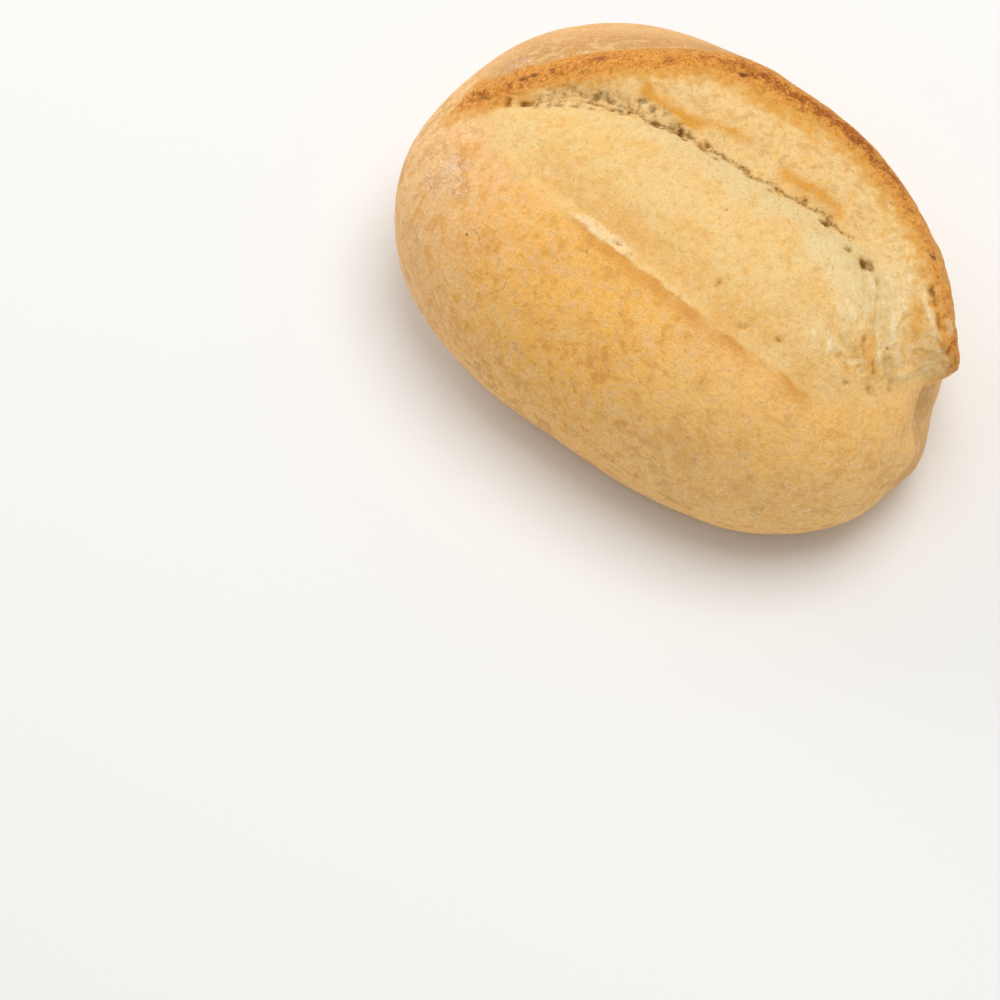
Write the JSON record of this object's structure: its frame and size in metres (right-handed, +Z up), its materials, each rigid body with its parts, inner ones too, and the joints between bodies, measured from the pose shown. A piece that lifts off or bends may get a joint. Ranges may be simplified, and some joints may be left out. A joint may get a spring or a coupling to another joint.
{
  "type": "part-baked bread roll",
  "caption": "Oval part-baked bread roll with a pale bloom opened along its slashed top, a browned raised ear beside it and a flat base to rest on.",
  "frame": {"origin": "middle of the flat base that the roll rests on", "axes": "+X along the roll, towards the end where the ear stops in a tip; +Y across it, towards the side of the raised ear; +Z up"},
  "size_m": [0.109, 0.0765, 0.0514],
  "materials": {
    "crust": null
  },
  "bodies": {
    "root": {"roll": "crust"}
  },
  "joints": []
}
